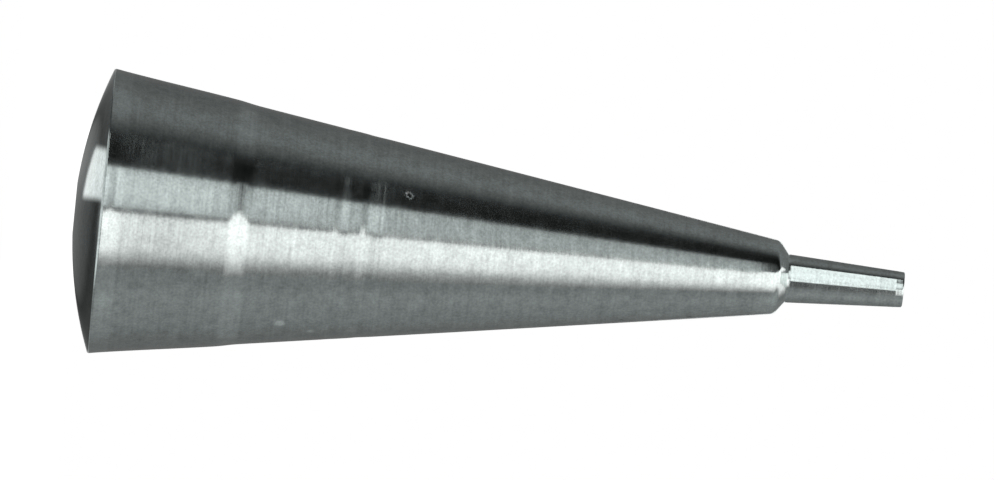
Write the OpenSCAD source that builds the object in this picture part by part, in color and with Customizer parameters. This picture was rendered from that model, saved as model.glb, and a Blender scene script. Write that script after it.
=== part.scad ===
// Dispensing needle tip: one piece of turned steel that stands on its rear land, nose up.
// The origin is the centre of the feed bore's mouth, and +Z runs along the bore to the outlet.

/* [Body] */
// Length from the rear land to the end of the nose
overall_l = 32; // [29:0.25:38]
// Diameter at the rear rim, before its edge is broken
rim_d = 11; // [10:0.1:13]
// Radius of the domed rear face
dome_r = 15; // [12:0.5:30]
// Width of the bevel that breaks the rim's edge
rim_bevel = 0.1; // [0.05:0.05:0.4]
// Diameter at the small end of the cone, before its edge is broken
cone_end_d = 2.8; // [2.5:0.02:3.4]
// Width of the bevel between the cone and the shoulder
shoulder_bevel = 0.16; // [0.06:0.02:0.24]

/* [Nose] */
// Length of the slim nose
nose_l = 4.5; // [3:0.1:6]
// Diameter of the nose where it leaves the shoulder
nose_base_d = 1.86; // [1.7:0.02:2.1]
// Diameter of the nose at its end, before its edge is broken
nose_end_d = 1.4; // [1.2:0.02:1.6]
// Length of the sloped shoulder between the cone and the nose
shoulder_l = 0.36; // [0.28:0.02:0.8]
// Length of the bevel round the nose's end
nose_bevel_l = 0.3; // [0.1:0.05:0.5]
// Depth of the bevel round the nose's end
nose_bevel_depth = 0.04; // [0.02:0.02:0.16]

/* [Fluid path] */
// Diameter of the feed bore, which starts in the middle of the domed face
feed_d = 1.4; // [1.1:0.1:1.6]
// Width of the chamfer round the feed bore's mouth
mouth_chamfer = 0.1; // [0.05:0.05:0.3]
// Width of the flat land round the mouth
land_w = 0.15; // [0.1:0.05:0.5]
// Diameter of the outlet bore
outlet_d = 0.6; // [0.3:0.05:0.8]
// Length of the outlet bore behind the shoulder
outlet_lead = 0.9; // [0.5:0.1:2]
// Included angle of the funnel that leads into the outlet bore
funnel_angle = 60; // [50:5:90]

/* [Turned rings] */
// Distance up the axis from the rim to the hollow beside it
rim_hollow_up = 0.4; // [0.3:0.05:1]
// Width of the hollow beside the rim
rim_hollow_w = 0.5; // [0.2:0.05:0.5]
// Depth of the hollow beside the rim
rim_hollow_depth = 0.015; // [0.01:0.005:0.04]
// Distance up the axis from the rim to the wide hollow
wide_hollow_up = 5.25; // [4:0.25:7]
// Width of the wide hollow
wide_hollow_w = 1; // [0.6:0.1:1.4]
// Depth of the wide hollow
wide_hollow_depth = 0.03; // [0.02:0.01:0.12]
// Distance up the axis from the rim to the narrow hollow
narrow_hollow_up = 10.5; // [10:0.25:14]
// Width of the narrow hollow
narrow_hollow_w = 0.8; // [0.4:0.05:0.8]
// Depth of the narrow hollow
narrow_hollow_depth = 0.02; // [0.01:0.01:0.08]
// Distance up the axis from the rim to the score that stands alone
score_up = 9.25; // [8:0.25:9.5]
// Width of each score
score_w = 0.14; // [0.08:0.02:0.2]
// Depth of each score
score_depth = 0.02; // [0.01:0.01:0.06]

/* [Hidden] */
$fn = 96;

rim_r = rim_d / 2;
cone_end_r = cone_end_d / 2;
nose_base_r = nose_base_d / 2;
nose_end_r = nose_end_d / 2;
mouth_r = feed_d / 2 + mouth_chamfer;
land_r = mouth_r + land_w;

// Heights up the axis from the land, which lies at zero
dome_z = sqrt(pow(dome_r, 2) - pow(land_r, 2));
rim_z = dome_face_z(rim_r);
nose_z = overall_l - nose_l;
shoulder_z = nose_z - shoulder_l;
outlet_z = shoulder_z - outlet_lead;
feed_end_z = outlet_z - (feed_d - outlet_d) / 2 / tan(funnel_angle / 2);

// Slopes of the outside: radius lost for each millimetre of height
cone_slope = (rim_r - cone_end_r) / (shoulder_z - rim_z);
shoulder_slope = (cone_end_r - nose_base_r) / shoulder_l;

// Height of the domed face at radius r
function dome_face_z(r) = dome_z - sqrt(pow(dome_r, 2) - pow(r, 2));

// Radius of the cone at height z
function cone_r(z) = rim_r - (z - rim_z) * cone_slope;

// Half section of the outside, with a sharp rim and no rings
module outside_section() {
    intersection() {
        polygon([
            [0, 0],
            [cone_r(0), 0],
            [cone_r(shoulder_z - shoulder_bevel), shoulder_z - shoulder_bevel],
            [cone_end_r - shoulder_bevel, shoulder_z + shoulder_bevel / shoulder_slope],
            [nose_base_r, nose_z],
            [nose_end_r, overall_l - nose_bevel_l],
            [nose_end_r - nose_bevel_depth, overall_l],
            [0, overall_l],
        ]);
        union() {
            translate([0, dome_z]) circle(dome_r);
            translate([0, dome_z]) square([dome_r, overall_l - dome_z]);
        }
    }
}

// The corner between the dome and the cone that the rim's bevel takes off
module rim_bevel_section() {
    cone_side_z = rim_z + rim_bevel;
    dome_side_r = rim_r - rim_bevel;
    polygon([
        [cone_r(cone_side_z), cone_side_z],
        [dome_side_r, dome_face_z(dome_side_r)],
        [rim_r, 0],
        [rim_r + rim_bevel, cone_side_z],
    ]);
}

// Puts a ring's section on the cone: its own Y runs up the surface and its X points out
module on_cone(up) {
    ring_z = rim_z + up;
    translate([cone_r(ring_z), ring_z]) rotate(atan(cone_slope)) children();
}

// A round tool that has sunk into the surface until the hollow is as wide as stated
module hollow_section(width, depth) {
    tool_r = (pow(width / 2, 2) + pow(depth, 2)) / (2 * depth);
    translate([tool_r - depth, 0]) circle(tool_r);
}

// A sharp V
module score_section() {
    polygon([
        [-score_depth, 0],
        [score_depth, -score_w],
        [score_depth, score_w],
    ]);
}

module rings_section() {
    on_cone(rim_hollow_up) hollow_section(rim_hollow_w, rim_hollow_depth);
    on_cone(wide_hollow_up) {
        hollow_section(wide_hollow_w, wide_hollow_depth);
        translate([-wide_hollow_depth, 0]) score_section();
    }
    on_cone(score_up) score_section();
    on_cone(narrow_hollow_up) hollow_section(narrow_hollow_w, narrow_hollow_depth);
}

// Half section of all that the fluid fills
module fluid_path_section() {
    polygon([
        [0, 0],
        [mouth_r, 0],
        [feed_d / 2, mouth_chamfer],
        [feed_d / 2, feed_end_z],
        [outlet_d / 2, outlet_z],
        [outlet_d / 2, overall_l],
        [0, overall_l],
    ]);
}

module needle_tip() {
    color("silver")
        rotate_extrude()
            difference() {
                outside_section();
                rim_bevel_section();
                rings_section();
                fluid_path_section();
            }
}

needle_tip();
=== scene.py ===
import math

import bpy
from mathutils import Matrix, Vector


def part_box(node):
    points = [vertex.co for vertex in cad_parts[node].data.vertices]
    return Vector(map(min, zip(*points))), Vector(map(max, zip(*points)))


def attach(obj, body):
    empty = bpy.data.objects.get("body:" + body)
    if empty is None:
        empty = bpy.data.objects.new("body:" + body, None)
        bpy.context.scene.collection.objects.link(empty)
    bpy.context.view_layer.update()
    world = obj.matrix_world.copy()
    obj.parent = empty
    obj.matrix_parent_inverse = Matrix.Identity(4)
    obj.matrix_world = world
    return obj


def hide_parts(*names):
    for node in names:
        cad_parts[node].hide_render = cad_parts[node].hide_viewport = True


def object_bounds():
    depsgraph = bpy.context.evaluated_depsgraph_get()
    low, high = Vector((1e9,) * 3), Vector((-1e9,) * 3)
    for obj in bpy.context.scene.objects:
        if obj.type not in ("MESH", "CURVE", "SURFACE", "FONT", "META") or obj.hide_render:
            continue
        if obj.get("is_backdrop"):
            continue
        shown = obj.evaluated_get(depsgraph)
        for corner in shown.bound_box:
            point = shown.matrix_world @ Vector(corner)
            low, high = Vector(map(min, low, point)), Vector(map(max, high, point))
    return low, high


mm = 0.001
white = (1, 1, 1, 1)


class Wire:
    # one output socket that can be written into sums
    def __init__(self, bench, socket):
        self.bench = bench
        self.socket = socket

    def out(self, name):
        return Wire(self.bench, self.socket.node.outputs[name])

    def __add__(self, other):
        return self.bench.maths("ADD", self, other)

    def __radd__(self, other):
        return self.bench.maths("ADD", other, self)

    def __sub__(self, other):
        return self.bench.maths("SUBTRACT", self, other)

    def __rsub__(self, other):
        return self.bench.maths("SUBTRACT", other, self)

    def __mul__(self, other):
        return self.bench.maths("MULTIPLY", self, other)

    def __rmul__(self, other):
        return self.bench.maths("MULTIPLY", other, self)

    def __abs__(self):
        return self.bench.maths("ABSOLUTE", self, 0)


class Bench:
    # adds nodes to one tree: the type, its settings, then what goes into its sockets
    def __init__(self, tree):
        self.tree = tree

    def add(self, kind, settings=None, inputs=None, output=0):
        node = self.tree.nodes.new(kind)
        for name, value in (settings or {}).items():
            if name == "stops":
                self.setStops(node.color_ramp.elements, value)
            else:
                setattr(node, name, value)
        for name, value in (inputs or {}).items():
            if isinstance(value, Wire):
                self.tree.links.new(value.socket, node.inputs[name])
            else:
                node.inputs[name].default_value = value
        return Wire(self, node.outputs[output]) if node.outputs else None

    def setStops(self, elements, stops):
        while len(elements) < len(stops):
            elements.new(1)
        for element, (place, grey) in zip(elements, stops):
            element.position = place
            element.color = (grey, grey, grey, 1)

    def maths(self, operation, left, right):
        return self.add("ShaderNodeMath", {"operation": operation}, {0: left, 1: right})

    def attribute(self, name):
        return self.add("ShaderNodeAttribute", {"attribute_name": name}, {}, "Fac")

    def ramp(self, stops, share):
        return self.add("ShaderNodeValToRGB", {"stops": stops}, {"Fac": share})

    def softEdge(self, value, start, end, low=0, high=1):
        # from low to high while the value goes from start to end
        return self.add(
            "ShaderNodeMapRange",
            {"interpolation_type": "SMOOTHSTEP"},
            {"Value": value, "From Min": start, "From Max": end, "To Min": low, "To Max": high},
        )

    def placeInMillimetres(self):
        # the Object coordinates, whole and taken apart
        place = self.add("ShaderNodeTexCoord", {}, {}, "Object")
        spot = self.add("ShaderNodeVectorMath", {"operation": "SCALE"}, {0: place, "Scale": 1 / mm})
        return spot, self.add("ShaderNodeSeparateXYZ", {}, {0: spot})

    def distance(self, spot, point):
        return self.add("ShaderNodeVectorMath", {"operation": "DISTANCE"}, {0: spot, 1: point}, "Value")

    def glow(self, strength, tint=white):
        return self.add("ShaderNodeEmission", {}, {"Color": tint, "Strength": strength})


def emptyBench(owner):
    # the node tree of a new material or world, with nothing in it yet
    owner.use_nodes = True
    owner.node_tree.nodes.clear()
    return Bench(owner.node_tree)


def addObject(name, data):
    thing = bpy.data.objects.new(name, data)
    bpy.context.scene.collection.objects.link(thing)
    return thing


def partSize():
    # the solid's length and the radius of its rim
    low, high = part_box("needle_tip")
    return (high[2] - low[2]) / mm, (high[0] - low[0]) / 2 / mm


# sizes in millimetres; the places of dips and bands are distances up the cone from the rim
tip = {
    "domeRadius": 15,
    "rimRounding": 0.07,
    "rimSupport": 0.09,  # points this far inside the rim keep its shine apart from the dome's
    "rimSpare": 0.012,  # the corner stands wider than the solid by this, before it is rounded
    "coneEndRadius": 1.415,
    "cornerRounding": 0.32,
    "shoulderLength": 0.36,
    "shoulderFootRounding": 0.03,
    "noseLength": 4.5,
    "noseBaseRadius": 0.93,
    "noseEndRadius": 0.7,
    "noseSupports": (0.15, 0.05),  # points after the nose's foot and before its bevel
    "noseBevelLength": 0.3,
    "noseBevelDepth": 0.022,
    "noseBevelRounding": 0.2,
    "noseEndRounding": 0.04,
    "mouthChamfer": 0.1,
    "landWidth": 0.15,
    "feedRadius": 0.7,
    "feedEndRounding": 0.1,
    "outletRadius": 0.3,
    "outletLead": 0.9,
    "outletChamfer": 0.03,
    "outletStartRounding": 0.05,
    "smallRounding": 0.02,
    "funnelHalfAngle": 30,
    # the turned rings; a dip with a depth below nothing stands out
    "dips": [
        {"from": 0.1, "low": 0.55, "to": 4.5, "depth": 0.005},
        {"from": 0.8, "low": 4.8, "to": 5.74, "depth": -0.023},
        {"from": 4.8, "low": 5.74, "to": 15, "depth": 0.012},
        {"from": 8.8, "low": 9.15, "to": 9.48, "depth": 0.0042},
        {"from": 9.85, "low": 10.2, "to": 10.85, "depth": 0.009},
        {"from": 10.57, "low": 10.69, "to": 10.81, "depth": 0.0012},
    ],
    # polish makes a band smoother; where it is above nothing it also lightens the colour, a painted sheen
    "bands": [
        {"from": 0, "to": 0.75, "polish": 0.45},
        {"from": 4.9, "to": 5.65, "polish": 0.45},
        {"from": 9.0, "to": 9.46, "polish": -0.2},
        {"from": 10.15, "to": 10.92, "polish": -0.3},
    ],
    "bandFade": 0.1,
    # these polishes also lighten the colour, a painted sheen
    "mouthPolish": 0.3,
    "shoulderPolish": 0.5,
    "nosePolish": 0.6,
    "domeSteps": 22,
    "dipSteps": 12,
    "plainSteps": 26,
    "leastStep": 0.01,
    "segments": 192,
    "roundSteps": 5,
    "sweepRadius": 0.001,  # next to nothing, because the outline already stands off the axis
}


def funnelLength(fromRadius, toRadius):
    return (fromRadius - toRadius) / math.tan(math.radians(tip["funnelHalfAngle"]))


def domeFace(radius):
    # how high the domed rear stands at a radius, above the land round the mouth
    landRadius = tip["feedRadius"] + tip["mouthChamfer"] + tip["landWidth"]
    domeHeight = math.sqrt(tip["domeRadius"] ** 2 - landRadius ** 2)
    return domeHeight - math.sqrt(tip["domeRadius"] ** 2 - radius ** 2)


def dipAt(distance, dip):
    # a dip falls smoothly to its lowest line and rises smoothly from it
    if not dip["from"] < distance < dip["to"]:
        return 0
    lip = dip["from"] if distance < dip["low"] else dip["to"]
    return dip["depth"] * (1 - math.cos(math.pi * (distance - lip) / (dip["low"] - lip))) / 2


def polishAt(distance, band):
    inside = min(distance - band["from"], band["to"] - distance) / tip["bandFade"]
    return band["polish"] * max(0, min(1, inside + 0.5))


def coneDistances(length):
    # distances up the cone: close together where a dip or a band begins and ends, even elsewhere
    distances = [length * step / tip["plainSteps"] for step in range(1, tip["plainSteps"])]
    for dip in tip["dips"]:
        for lip in (dip["from"], dip["to"]):
            for step in range(tip["dipSteps"] + 1):
                distances.append(lip + (dip["low"] - lip) * step / tip["dipSteps"])
    for band in tip["bands"]:
        for place in (band["from"], band["to"]):
            distances += [place - tip["bandFade"] / 2, place + tip["bandFade"] / 2]
    kept = [tip["rimRounding"]]
    for distance in sorted(distances):
        if distance - kept[-1] > tip["leastStep"] and distance < length - tip["cornerRounding"]:
            kept.append(distance)
    return kept


def tipOutline(length, rimRadius):
    # half section as corners: radius, height, rounding and how polished it is
    mouthRadius = tip["feedRadius"] + tip["mouthChamfer"]
    landRadius = mouthRadius + tip["landWidth"]
    rimHeight = domeFace(rimRadius)
    noseHeight = length - tip["noseLength"]
    shoulderHeight = noseHeight - tip["shoulderLength"]
    outletHeight = shoulderHeight - tip["outletLead"]
    feedEnd = outletHeight - funnelLength(tip["feedRadius"], tip["outletRadius"])

    small = tip["smallRounding"]
    corners = [
        (tip["feedRadius"], length / 2, 0, 0),
        (tip["feedRadius"], tip["mouthChamfer"], small, tip["mouthPolish"]),
        (mouthRadius, 0, small, tip["mouthPolish"]),
        (landRadius, 0, small, tip["mouthPolish"]),
    ]
    domeWidth = rimRadius - landRadius
    domeRadii = [landRadius + domeWidth * step / tip["domeSteps"] for step in range(1, tip["domeSteps"])]
    for radius in domeRadii + [rimRadius - tip["rimSupport"]]:
        corners.append((radius, domeFace(radius), 0, 0))

    coneLength = shoulderHeight - rimHeight
    slope = (rimRadius - tip["coneEndRadius"]) / coneLength
    lean = math.atan(slope)
    for distance in [0] + coneDistances(coneLength):
        depth = sum(dipAt(distance, dip) for dip in tip["dips"])
        polish = sum(polishAt(distance, band) for band in tip["bands"])
        radius = rimRadius - distance * slope - depth * math.cos(lean)
        height = rimHeight + distance - depth * math.sin(lean)
        corners.append((radius, height, 0 if distance else tip["rimRounding"], polish))

    bevelHeight = length - tip["noseBevelLength"]
    noseTaper = (tip["noseBaseRadius"] - tip["noseEndRadius"]) / (bevelHeight - noseHeight)

    def noseRadius(height):
        return tip["noseBaseRadius"] - (height - noseHeight) * noseTaper

    noseStart = noseHeight + tip["noseSupports"][0]
    noseEnd = bevelHeight - tip["noseSupports"][1]
    bevelShare = 0.75  # a point this far along keeps the rest of the bevel straight
    lowBevel = tip["noseEndRadius"] - tip["noseBevelDepth"] * bevelShare
    nosePolish = tip["nosePolish"]
    corners += [
        (tip["coneEndRadius"], shoulderHeight, tip["cornerRounding"], tip["shoulderPolish"]),
        (tip["noseBaseRadius"], noseHeight, tip["shoulderFootRounding"], tip["shoulderPolish"]),
        (noseRadius(noseStart), noseStart, 0, nosePolish),
        (noseRadius(noseEnd), noseEnd, 0, nosePolish),
        (tip["noseEndRadius"], bevelHeight, tip["noseBevelRounding"], nosePolish),
        (lowBevel, bevelHeight + tip["noseBevelLength"] * bevelShare, 0, nosePolish),
        (tip["noseEndRadius"] - tip["noseBevelDepth"], length, tip["noseEndRounding"], nosePolish),
        (tip["outletRadius"] + tip["outletChamfer"], length, small, nosePolish),
        (tip["outletRadius"], length - tip["outletChamfer"], small, tip["mouthPolish"]),
        (tip["outletRadius"], outletHeight, tip["outletStartRounding"], 0),
        (tip["feedRadius"], feedEnd, tip["feedEndRounding"], 0),
    ]
    return corners


def outlineObject(corners):
    # a closed wire in the XZ plane, with its roundings and finish kept on the points
    mesh = bpy.data.meshes.new("outline")
    points = [(radius * mm, 0, height * mm) for radius, height, rounding, polish in corners]
    edges = [(step, (step + 1) % len(points)) for step in range(len(points))]
    mesh.from_pydata(points, edges, [])
    for name, place, unit in (("rounding", 2, mm), ("polish", 3, 1)):
        layer = mesh.attributes.new(name, "FLOAT", "POINT")
        layer.data.foreach_set("value", [corner[place] * unit for corner in corners])
    return addObject("outline", mesh)


def latheTree(finish):
    # turns the outline round Z: rounds its corners first, then sweeps it along a circle
    tree = bpy.data.node_groups.new("lathe", "GeometryNodeTree")
    face = tree.interface
    face.new_socket("Outline", in_out="INPUT", socket_type="NodeSocketGeometry")
    for name, kind in (("Segments", "NodeSocketInt"), ("Round Steps", "NodeSocketInt")):
        face.new_socket(name, in_out="INPUT", socket_type=kind)
    face.new_socket("Turned", in_out="OUTPUT", socket_type="NodeSocketGeometry")
    bench = Bench(tree)
    given = bench.add("NodeGroupInput")
    rounding = bench.add("GeometryNodeInputNamedAttribute", {"data_type": "FLOAT"}, {"Name": "rounding"})
    wire = bench.add("GeometryNodeMeshToCurve", {}, {"Mesh": given.out("Outline")})
    rounded = bench.add(
        "GeometryNodeFilletCurve",
        {"mode": "POLY"},
        {"Curve": wire, "Radius": rounding, "Count": given.out("Round Steps"), "Limit Radius": True},
    )
    travelled = bench.add("GeometryNodeSplineParameter").out("Length")
    marked = bench.add(
        "GeometryNodeStoreNamedAttribute",
        {"data_type": "FLOAT", "domain": "POINT"},
        {"Geometry": rounded, "Name": "travel", "Value": travelled},
    )
    # the sweep puts the outline's own X and Y across the circle, so it lies down first
    laid = bench.add("GeometryNodeTransform", {}, {"Geometry": marked, "Rotation": (math.pi / 2, 0, 0)})
    circle = bench.add(
        "GeometryNodeCurvePrimitiveCircle",
        {},
        {"Resolution": given.out("Segments"), "Radius": tip["sweepRadius"] * mm},
    )
    turned = bench.add("GeometryNodeCurveToMesh", {}, {"Curve": circle, "Profile Curve": laid})
    outwards = bench.add("GeometryNodeFlipFaces", {}, {"Mesh": turned})
    smooth = bench.add("GeometryNodeSetShadeSmooth", {}, {"Geometry": outwards, "Shade Smooth": True})
    real = bench.add("GeometryNodeRealizeInstances", {}, {"Geometry": smooth})
    done = bench.add("GeometryNodeSetMaterial", {}, {"Geometry": real, "Material": finish})
    bench.add("NodeGroupOutput", {}, {"Turned": done})
    return tree


def runTree(holder, tree, name, values):
    # sets the named inputs, then keeps the evaluated result as a plain mesh
    modifier = holder.modifiers.new(name, "NODES")
    modifier.node_group = tree
    for item in tree.interface.items_tree:
        if item.in_out == "INPUT" and item.name in values:
            modifier[item.identifier] = values[item.name]
    evaluated = holder.evaluated_get(bpy.context.evaluated_depsgraph_get())
    mesh = bpy.data.meshes.new_from_object(evaluated)
    bpy.data.objects.remove(holder)
    mesh.name = name
    return addObject(name, mesh)


# sizes in millimetres; gains change the shade and spreads the roughness
steel = {
    "colour": (0.482, 0.545, 0.532, 1),
    "turnedRoughness": 0.14,
    "polishedRoughness": 0.09,
    # painted sheen: how much lighter polished places are
    "paintedSheenGain": 0.35,
    "mottleSize": 0.4,
    "mottleGain": 0.6,
    "mottleSpread": 0.05,
    "grainSize": 0.1,
    "grainGain": 0.45,
    "markPitch": 0.13,
    "markDrift": 0.3,
    "markGain": 0.4,
    "markHeight": 0.0012,
    "wavePitch": 1.1,
    "waveDrift": 0.2,
    "waveSpread": 0.03,
    "knockSpread": 0.08,
    "knockRaggedness": 0.3,
    "knockCore": 0.3,
    # small knocks from use: height up the part, turn from the front, ring radius, width and shade
    "knocks": [
        (8.24, 56, 0, 0.26, 0.9),
        (9.45, 66, 0, 0.2, 0.4),
        (12.7, -28.5, 0.13, 0.06, 0.9),
        (18.5, 26, 0, 0.12, 0.2),
        (24.4, -8, 0, 0.13, 0.2),
        (13.8, -78, 0, 0.14, -0.45),
        (11.3, -75, 0, 0.12, -0.35),
        (21.3, 72, 0, 0.13, -0.35),
        (22.5, 77, 0, 0.12, -0.45),
        (23.9, 72, 0, 0.11, -0.45),
    ],
}


def knockSpot(height, turn):
    # a place on the cone
    length, rimRadius = partSize()
    rimHeight = domeFace(rimRadius)
    share = (height - rimHeight) / (length - tip["noseLength"] - tip["shoulderLength"] - rimHeight)
    radius = rimRadius + (tip["coneEndRadius"] - rimRadius) * share
    angle = math.radians(turn)
    return (radius * math.sin(angle), -radius * math.cos(angle), height)


def turnedSteel():
    material = bpy.data.materials.new("turnedSteel")
    bench = emptyBench(material)
    spot, apart = bench.placeInMillimetres()
    travel = bench.attribute("travel") * (1 / mm)
    polish = bench.attribute("polish")

    def noise(place, size, detail):
        # goes as far down from nothing as up
        inputs = {"Vector": place, "Scale": 1 / size, "Detail": detail}
        return bench.add("ShaderNodeTexNoise", {}, inputs, "Fac") - 0.5

    def ringNoise(pitch, drift, detail):
        # changes along the outline and only slowly round the part
        across, deep = apart.out("X") * drift, apart.out("Y") * drift
        along = bench.add("ShaderNodeCombineXYZ", {}, {0: across, 1: deep, 2: travel * (1 / pitch)})
        return noise(along, 1, detail)

    marks = ringNoise(steel["markPitch"], steel["markDrift"], 3)
    waves = ringNoise(steel["wavePitch"], steel["waveDrift"], 2)
    mottle = noise(spot, steel["mottleSize"], 3)
    grain = noise(spot, steel["grainSize"], 1)
    shade, scuff = 1, 0
    for height, turn, ring, width, change in steel["knocks"]:
        away = abs(bench.distance(spot, knockSpot(height, turn)) - ring)
        knock = bench.softEdge(away + grain * steel["knockRaggedness"], width, width * steel["knockCore"])
        shade = knock * change + shade
        scuff = knock * steel["knockSpread"] + scuff
    print("steel:", len(steel["knocks"]), "knocks")

    rough = polish * (steel["polishedRoughness"] - steel["turnedRoughness"]) + steel["turnedRoughness"]
    rough = rough + mottle * steel["mottleSpread"] + waves * steel["waveSpread"] + scuff
    bump = bench.add("ShaderNodeBump", {}, {"Height": marks, "Distance": steel["markHeight"] * mm})
    # painted sheen: polished places get a lighter colour, so their reflections come out brighter
    tone = bench.maths("MAXIMUM", polish, 0) * steel["paintedSheenGain"] + 1
    tone = tone + mottle * steel["mottleGain"] + grain * steel["grainGain"]
    tone = (tone + marks * steel["markGain"]) * shade
    grey = bench.add("ShaderNodeCombineColor", {}, {0: tone, 1: tone, 2: tone})
    colour = bench.add(
        "ShaderNodeMix",
        {"data_type": "RGBA", "blend_type": "MULTIPLY"},
        {0: 1.0, 6: steel["colour"], 7: grey},  # factor, then the two colours
        2,  # the mixed colour
    )
    shader = bench.add(
        "ShaderNodeBsdfPrincipled",
        {},
        {"Base Color": colour, "Metallic": 1, "Roughness": rough, "Normal": bump},
    )
    bench.add("ShaderNodeOutputMaterial", {}, {"Surface": shader})
    return material


def makeTip():
    length, rimRadius = partSize()
    holder = outlineObject(tipOutline(length, rimRadius + tip["rimSpare"]))
    values = {"Segments": tip["segments"], "Round Steps": tip["roundSteps"]}
    piece = runTree(holder, latheTree(turnedSteel()), "turnedTip", values)
    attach(piece, "root")
    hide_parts("needle_tip")
    print("tip:", len(piece.data.vertices), "points,", len(piece.data.polygons), "faces")


# Cards are patches of spheres round the part's middle. Middle and reach are in metres, and rows in degrees.
# A low card's places are azimuth, from the camera's side towards +X, and elevation. An overhead card's are
# sideways, towards +X, and pitch, from the camera over the top to the back. Each row goes from its left end
# to its right end. The grades across and upwards are shares of the strength.
studio = {
    "middle": 0.0161,
    "columns": 30,
    "stepsPerRow": 10,
    "cards": [
        {
            "name": "keyCard",
            "overhead": True,
            "reach": 0.35,
            "strength": 1.58,
            "tint": (1.04, 0.99, 0.99, 1),
            "rows": [
                ((1, 12.9), (43, 15.2)),
                ((-0.5, 16.5), (43, 17.6)),
                ((-2.8, 19), (43, 19.4)),
                ((-6, 20.8), (43, 22)),
                ((-12, 24.2), (50, 25.2)),
                ((-15, 35), (46, 35)),
                ((-14, 61), (31, 61)),
                ((-12, 126), (20, 126)),
            ],
            "across": [(0, 1), (0.25, 1.05), (0.6, 0.95), (0.75, 0.7), (0.88, 0.4), (1, 0.18)],
        },
        {
            "name": "fillCard",
            "reach": 0.35,
            "strength": 1.1,
            "rows": [
                ((-38, 11), (-4.5, 11)),
                ((-38, 16.7), (-4.5, 16.7)),
                ((-35.5, 18.2), (-5, 18.2)),
                ((-42, 21.2), (-10, 23.7)),
            ],
            "across": [(0, 0.8), (0.3, 0.95), (0.6, 1), (0.85, 0.85), (1, 0.65)],
            "upwards": [
                (0, 1.14), (0.24, 1.18), (0.3, 0.9), (0.36, 0.55), (0.45, 0.34), (0.6, 0.43), (0.7, 0.53),
                (0.76, 0.61), (0.83, 0.68), (0.9, 0.6), (1, 0.45),
            ],
        },
        {
            "name": "noseCard",
            "reach": 1.0,
            "strength": 1.54,
            "rows": [((-66, 5.4), (11, 5.4)), ((-66, 10.2), (11, 10.2))],
        },
        {
            "name": "backCard",
            "reach": 0.35,
            "strength": 1.1,
            "rows": [((164, 5), (194, 5)), ((154, 13), (204, 13)), ((154, 20), (204, 20))],
        },
    ],
    "surround": {
        "name": "surround",
        "reach": 1.1,
        "strength": 0.77,
        "rows": [((-180, -2.5), (180, -2.5)), ((-180, 90), (180, 90))],
        "upwards": [(0, 0.75), (0.093, 0.78), (0.128, 1), (1, 1)],
        "columns": 90,
        "turns": [
            (-180, 0.29), (-170, 0.27), (-160, 0.25), (-130, 0.26), (-110, 0.3), (-100, 0.32), (-90, 0.28),
            (-80, 0.17), (-68, 0.04), (-58, 0.01), (-45, 0.01), (-30, 0.1), (0, 0.12), (32, 0.12),
            (44, 0.28), (50, 0.37), (60, 0.39), (75, 0.47), (90, 0.44), (110, 0.39), (130, 0.35),
            (150, 0.31), (180, 0.27),
        ],
    },
    "skyStrength": 0.7,
    "floorRadius": 2.0,
    "floorCorners": 64,
    "floorColour": (0.8, 0.8, 0.8, 1),
    "floorGlow": 0.6,
    # what polished surfaces show of the floor is painted light: a painted shadow under the tip, a painted
    # gleam, then painted pools of light and dark by turn; its places are in millimetres
    "underMiddle": (0, 3, 0),
    "underRadius": (7.1, 7.8),
    "underReach": 10,
    "underShades": [(0, 0.2), (0.18, 0.16), (0.26, 0.13), (0.33, 0.1), (0.39, 0.045), (0.6, 0.1), (1, 0.17)],
    # the painted shadow under the tip is this much lighter on the -X side
    "underTurn": (-2.2, 0.3),
    "underGain": 1.7,
    "openTurns": [
        (-180, 0.8), (-165, 0.75), (-150, 0.3), (-110, 0.25), (-90, 0.35), (-68, 0.08), (-44, 0.08),
        (-38, 0.7), (-6, 0.75), (-3, 0.65), (2, 1.05), (28, 1), (42, 0.34), (60, 0.28), (90, 0.36),
        (120, 0.3), (150, 0.4), (165, 0.7), (180, 0.8),
    ],
    # a painted gleam: a bright patch of floor that the dome reflects
    "gleam": {"X": (-2.5, -0.48), "Y": (-4.7, -2.3)},
    "gleamSoftness": 0.2,
    "gleamStrength": 1.08,
}


def turnStops(turns):
    return [((azimuth + 180) / 360, grey) for azimuth, grey in turns]


def glowMaterial(card):
    # light that may fade across a card and up it
    material = bpy.data.materials.new(card["name"])
    bench = emptyBench(material)
    strength = card["strength"]
    for grade in ("across", "upwards"):
        if grade in card:
            strength = bench.ramp(card[grade], bench.attribute(grade)) * strength
    glow = bench.glow(strength, card.get("tint", white))
    bench.add("ShaderNodeOutputMaterial", {}, {"Surface": glow})
    return material


def cardPoint(card, first, second):
    turn, rise = math.radians(first), math.radians(second)
    if card.get("overhead"):
        spot = (math.sin(turn), -math.cos(turn) * math.cos(rise), math.cos(turn) * math.sin(rise))
    else:
        spot = (math.cos(rise) * math.sin(turn), -math.cos(rise) * math.cos(turn), math.sin(rise))
    return Vector(spot) * card["reach"] + Vector((0, 0, studio["middle"]))


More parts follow.
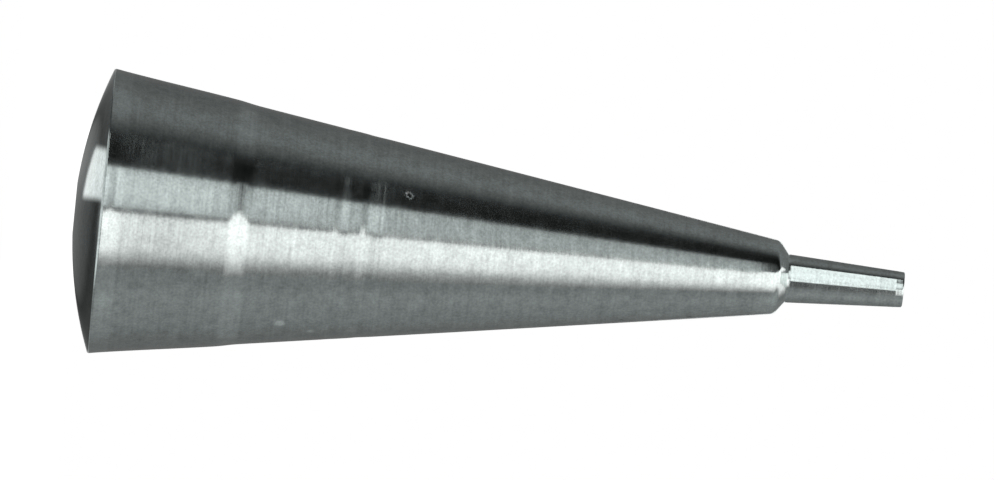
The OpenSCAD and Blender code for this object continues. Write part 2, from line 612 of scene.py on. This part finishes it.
def bentCard(card):
    # a patch of a sphere, which only polished surfaces see
    columns, steps = card.get("columns", studio["columns"]), studio["stepsPerRow"]
    rows = card["rows"]
    ends = []
    for (lowLeft, lowRight), (highLeft, highRight) in zip(rows, rows[1:]):
        for step in range(steps):
            share = step / steps
            ends.append((
                Vector(lowLeft).lerp(Vector(highLeft), share),
                Vector(lowRight).lerp(Vector(highRight), share),
            ))
    ends.append((Vector(rows[-1][0]), Vector(rows[-1][1])))
    points, across, upwards = [], [], []
    for row, (left, right) in enumerate(ends):
        for column in range(columns + 1):
            points.append(cardPoint(card, *left.lerp(right, column / columns)))
            across.append(column / columns)
            upwards.append(row / (len(ends) - 1))
    wide = columns + 1
    faces = [
        (first, first + 1, first + wide + 1, first + wide)
        for first in range(len(points) - wide)
        if first % wide < columns
    ]
    mesh = bpy.data.meshes.new(card["name"])
    mesh.from_pydata(points, [], faces)
    mesh.materials.append(glowMaterial(card))
    for name, values in (("across", across), ("upwards", upwards)):
        mesh.attributes.new(name, "FLOAT", "POINT").data.foreach_set("value", values)
    sheet = addObject(card["name"], mesh)
    sheet.visible_camera = False
    sheet.visible_diffuse = False
    sheet.visible_shadow = False
    sheet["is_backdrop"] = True


def pathKinds(bench):
    # first 1 where the camera looks straight at it, then 1 where a polished or clear surface shows it
    seen = bench.add("ShaderNodeLightPath", {}, {}, "Is Camera Ray")
    return seen, bench.maths("MAXIMUM", seen.out("Is Glossy Ray"), seen.out("Is Transmission Ray"))


def floorMaterial():
    # pale paper; polished surfaces see a painted glow instead: painted shadow right under the tip, one
    # painted gleam on the near side, painted light and dark by turn
    material = bpy.data.materials.new("paleFloor")
    bench = emptyBench(material)
    seen, shown = pathKinds(bench)
    spot, apart = bench.placeInMillimetres()
    fromAxis = bench.distance(spot, (0, 0, 0))
    away = bench.distance(spot, studio["underMiddle"])
    turn = bench.maths("ARCTAN2", apart.out("X"), apart.out("Y") * -1) * (0.5 / math.pi) + 0.5

    soft = studio["gleamSoftness"]
    gleam = studio["gleamStrength"]
    for axis, (start, end) in studio["gleam"].items():
        gleam = bench.softEdge(apart.out(axis), start - soft, start + soft) * gleam
        gleam = bench.softEdge(apart.out(axis), end + soft, end - soft) * gleam
    nearGain = bench.softEdge(apart.out("X"), *studio["underTurn"], studio["underGain"], 1)
    # painted shadow under the tip, lighter on the -X side, with the painted gleam on it
    under = bench.ramp(studio["underShades"], fromAxis * (1 / studio["underReach"])) * nearGain + gleam
    # painted pools of light and dark by turn, further out
    beyond = bench.ramp(turnStops(studio["openTurns"]), turn)
    paintedReflection = under + bench.softEdge(away, *studio["underRadius"]) * (beyond - under)
    paper = bench.add("ShaderNodeBsdfDiffuse", {}, {"Color": studio["floorColour"]})
    lit = bench.add("ShaderNodeAddShader", {}, {0: paper, 1: bench.glow(seen * studio["floorGlow"])})
    both = bench.add("ShaderNodeMixShader", {}, {0: shown, 1: lit, 2: bench.glow(paintedReflection)})
    bench.add("ShaderNodeOutputMaterial", {}, {"Surface": both})
    return material


def makeFloor():
    # one round sheet
    corners, radius = studio["floorCorners"], studio["floorRadius"]
    turns = [2 * math.pi * step / corners for step in range(corners)]
    mesh = bpy.data.meshes.new("floor")
    points = [(radius * math.cos(turn), radius * math.sin(turn), 0) for turn in turns]
    mesh.from_pydata(points, [], [tuple(range(corners))])
    mesh.materials.append(floorMaterial())
    floor = addObject("floor", mesh)
    floor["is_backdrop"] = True


def makeWorld():
    world = bpy.data.worlds.new("studio")
    bpy.context.scene.world = world
    bench = emptyBench(world)
    seen, shown = pathKinds(bench)
    strength = (seen + shown) * (1 - studio["skyStrength"]) + studio["skyStrength"]
    light = bench.add("ShaderNodeBackground", {}, {"Color": white, "Strength": strength})
    bench.add("ShaderNodeOutputWorld", {}, {"Surface": light})


# the camera stands just above the floor and looks at the middle of the part, a little aside of its axis
view = {
    "distance": 0.75,  # in metres, and the other sizes are in millimetres
    "height": 0.4,
    "roll": 5.63,
    "frameWidth": 38.2,
    "upAxis": 0.263,
    "acrossAxis": -0.375,
}


def makeCamera():
    low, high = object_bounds()
    centre = (low + high) / 2
    aim = centre + Vector((view["acrossAxis"], 0, view["upAxis"])) * mm
    roll = math.radians(view["roll"])
    stand = Vector((aim.x, -view["distance"], view["height"] * mm))
    back = (stand - aim).normalized()
    side = Vector((1, 0, 0))
    rise = back.cross(side)
    # the part lies down in the picture, with its nose to the right
    right = rise * math.cos(roll) - side * math.sin(roll)
    up = rise * -math.sin(roll) - side * math.cos(roll)
    camera = addObject("camera", bpy.data.cameras.new("camera"))
    camera.data.lens = camera.data.sensor_width * view["distance"] / (view["frameWidth"] * mm)
    turn = Matrix((right, up, back)).transposed().to_4x4()
    camera.matrix_world = Matrix.Translation(stand) @ turn
    bpy.context.scene.camera = camera
    print("camera:", round(camera.data.lens), "mm lens")


def makeStudio():
    surround = dict(studio["surround"])
    surround["across"] = turnStops(surround["turns"])
    for card in studio["cards"] + [surround]:
        bentCard(card)
    makeFloor()
    makeWorld()
    print("studio:", len(studio["cards"]), "cards")


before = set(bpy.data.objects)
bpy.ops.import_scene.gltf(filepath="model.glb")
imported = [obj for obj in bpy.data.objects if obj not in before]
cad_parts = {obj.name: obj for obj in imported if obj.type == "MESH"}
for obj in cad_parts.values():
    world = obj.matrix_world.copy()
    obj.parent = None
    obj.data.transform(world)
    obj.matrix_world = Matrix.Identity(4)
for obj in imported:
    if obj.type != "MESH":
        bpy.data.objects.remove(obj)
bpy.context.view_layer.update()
makeTip()
makeStudio()
makeCamera()
bpy.context.scene.view_settings.view_transform = "Standard"
